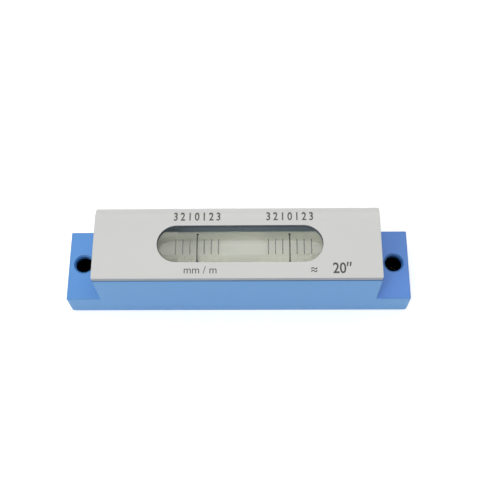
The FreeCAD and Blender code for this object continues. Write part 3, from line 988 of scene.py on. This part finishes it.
def line_row(start, count, half_angle, width, ink, spacing=pitch):
    """A row of lines from a first place along X."""
    return run_tree(
        line_tree, Start=start, Pitch=spacing, Count=count, Half_Angle=half_angle,
        Line_Width=width, Radius=line_radius, Thickness=ink_thickness, Ink=ink,
    )


short_rows = []
for middle in main_places:
    for start in (middle - marks_each_side * pitch, middle + pitch):
        short_rows.append(line_row(start, marks_each_side, short_angle, short_width, short_line_ink))
add_piece("short_lines", join_meshes("short_lines", short_rows), "cradle", ["division_lines"])

main_gap = main_places[1] - main_places[0]
main_count = len(main_places)
main_rows = [line_row(main_places[0], main_count, main_angle, main_width, long_line_ink, main_gap)]
for side in (-1, 1):
    main_rows.append(run_tree(
        dot_tree, Start=main_places[0], Pitch=main_gap, Count=main_count, Angle=side * main_angle,
        Dot_Radius=dot_radius, Radius=line_radius, Thickness=ink_thickness, Ink=long_line_ink,
    ))
add_piece("long_lines", join_meshes("long_lines", main_rows), "cradle", ["main_lines"])

# %% [markdown]
# ## Print on the cover
#
# Plain numbers over the window count the divisions on both sides of each main line, and below it
# stand the unit and the slope of one division. Text is made a mesh before its place is applied,
# as a very thin layer of ink on the sheet.

# %% Print the numbers
print_height = 0.02 * MM
curve_steps = 6
number_size = 2.75 * MM
number_squeeze = 0.80
numbers_foot = 5.45 * MM
legend_foot = -7.3 * MM
bold = 0.035 * MM


def printed(words, size, x, y, thicken=0.0, squeeze=1.0):
    """A mesh of one short text, centred at x with its foot at y."""
    curve = bpy.data.curves.new("print", "FONT")
    curve.body = words
    curve.size = size
    curve.offset = thicken
    curve.extrude = print_height / 2
    curve.resolution_u = curve_steps
    curve.align_x = "CENTER"
    text = bpy.data.objects.new("print", curve)
    scene.collection.objects.link(text)
    depsgraph = bpy.context.evaluated_depsgraph_get()
    mesh = bpy.data.meshes.new_from_object(text.evaluated_get(depsgraph))
    bpy.data.objects.remove(text)
    shift = Matrix.Translation((x, y, cover_high.z + print_height / 2))
    mesh.transform(shift @ Matrix.Diagonal((squeeze, 1, 1, 1)))
    return mesh


def number(value, x):
    return printed(str(value), number_size, x, numbers_foot, bold, number_squeeze)


labels = []
for middle in main_places:
    for step in range(-marks_each_side, marks_each_side + 1):
        labels.append(number(abs(step), middle + step * pitch))
labels.append(printed("mm / m", size=2.5 * MM, x=-8.0 * MM, y=legend_foot, squeeze=0.95))
labels.append(printed("≈", size=2.8 * MM, x=17.0 * MM, y=legend_foot))
labels.append(printed("20″", size=3.5 * MM, x=23.2 * MM, y=legend_foot, thicken=1.5 * bold, squeeze=0.85))
for label in labels:
    label.materials.clear()
print_mesh = join_meshes("cover_print", labels)
print_mesh.materials.append(print_ink)
add_piece("cover_print", print_mesh, "bar")

# %% [markdown]
# ## Studio
#
# The level stands on a plain white floor under soft light. A big soft box stands at the front
# left, a second hangs overhead, a third stands behind, and the sky fills in the rest, so that a
# colour renders about as it is written.
#
# The floor shows white to the camera and still takes the level's shadow. It glows most far off, so
# that it meets the white of the sky without a band. Right under the bar it is painted black with no
# glow, a painted shadow where no light gets there. It lies a hair below the bar and can't be seen
# from its underside, nor by light that starts at the bar's base, so a view from below shows the
# ground face.

# %% Floor
floor_size = 6.0
floor_gap = 0.05 * MM
base_ray = 4 * floor_gap
under_fade = 0.3 * MM
near_floor = 0.2
near_fade = 0.6
floor_paint = grey(0.84)
near_glow = grey(0.46)
far_glow = grey(0.90)
black = grey(0.0)


def seen_directly(tree, rays):
    """1 for the rays that show a surface as itself: the camera's, mirrored ones and bent ones."""
    seen = math_node(tree, "MAXIMUM", rays.outputs["Is Camera Ray"], rays.outputs["Is Glossy Ray"])
    return math_node(tree, "MAXIMUM", seen, rays.outputs["Is Transmission Ray"])


def make_floor():
    half = floor_size / 2
    corners = []
    for x, y in ((-half, -half), (half, -half), (half, half), (-half, half)):
        corners.append(Vector((x, y, -floor_gap)))
    mesh = mesh_from("studio_floor", corners, [(0, 1, 2, 3)], smooth=False)
    material, tree, shader = principled("floor_white", Roughness=0.9, Specular_IOR_Level=0.1)
    # Painted shadow: under the bar the floor is black and does not glow.
    under = use_box(tree, bar_low + Vector((MM, MM, -FAR)), bar_high - Vector((MM, MM, -FAR)), under_fade)
    tree.links.new(mix_colours(tree, under, floor_paint, black), shader.inputs["Base Color"])
    rays = add(tree, "ShaderNodeLightPath")
    near = use_box(tree, (-near_floor, -near_floor, -FAR), (near_floor, near_floor, FAR), near_fade)
    glow = mix_colours(tree, near, far_glow, near_glow)
    glow = mix_colours(tree, under, glow, black)
    light = add(tree, "ShaderNodeEmission")
    tree.links.new(glow, light.inputs["Color"])
    tree.links.new(seen_directly(tree, rays), light.inputs["Strength"])
    lit = add(tree, "ShaderNodeAddShader")
    tree.links.new(shader.outputs[0], lit.inputs[0])
    tree.links.new(light.outputs[0], lit.inputs[1])
    from_below = add(tree, "ShaderNodeNewGeometry").outputs["Backfacing"]
    from_base = math_node(tree, "LESS_THAN", rays.outputs["Ray Length"], base_ray)
    unseen = add(tree, "ShaderNodeMixShader")
    tree.links.new(math_node(tree, "MAXIMUM", from_below, from_base), unseen.inputs[0])
    tree.links.new(lit.outputs[0], unseen.inputs[1])
    tree.links.new(add(tree, "ShaderNodeBsdfTransparent").outputs[0], unseen.inputs[2])
    set_surface(tree, unseen.outputs[0])
    mesh.materials.append(material)
    floor = bpy.data.objects.new("studio_floor", mesh)
    scene.collection.objects.link(floor)
    print("floor", floor_size, "m wide,", floor_gap / MM, "mm below the bar")


make_floor()

# %% Soft boxes and sky
aim_point = Vector((0, 0, 10 * MM))


def soft_box(name, place, size, level):
    """A square lamp aimed at the level; a white surface that faces it renders at this level."""
    lamp = bpy.data.lights.new(name, "AREA")
    lamp.size = size
    place = Vector(place)
    aim = aim_point - place
    lamp.energy = level * math.pi ** 2 * aim.length_squared
    stand = bpy.data.objects.new(name, lamp)
    stand.matrix_world = Matrix.Translation(place) @ aim.to_track_quat("-Z", "Y").to_matrix().to_4x4()
    scene.collection.objects.link(stand)


soft_box("key_box", place=(-0.45, -0.60, 0.65), size=0.5, level=0.37)
soft_box("top_box", place=(-0.05, 0.06, 0.95), size=0.7, level=0.34)
soft_box("rear_box", place=(0.10, 0.62, 0.70), size=0.6, level=0.21)

sky_level = 0.31
world = bpy.data.worlds.new("studio_sky")
world.use_nodes = True
scene.world = world
sky = world.node_tree
sky.nodes.clear()
seen = seen_directly(sky, add(sky, "ShaderNodeLightPath"))
background = add(sky, "ShaderNodeBackground", {"Color": grey(1.0)})
sky.links.new(mix_values(sky, seen, sky_level, 1.0), background.inputs["Strength"])
sky.links.new(background.outputs[0], add(sky, "ShaderNodeOutputWorld").inputs["Surface"])
scene.view_settings.view_transform = "Standard"
print("sky level", sky_level)
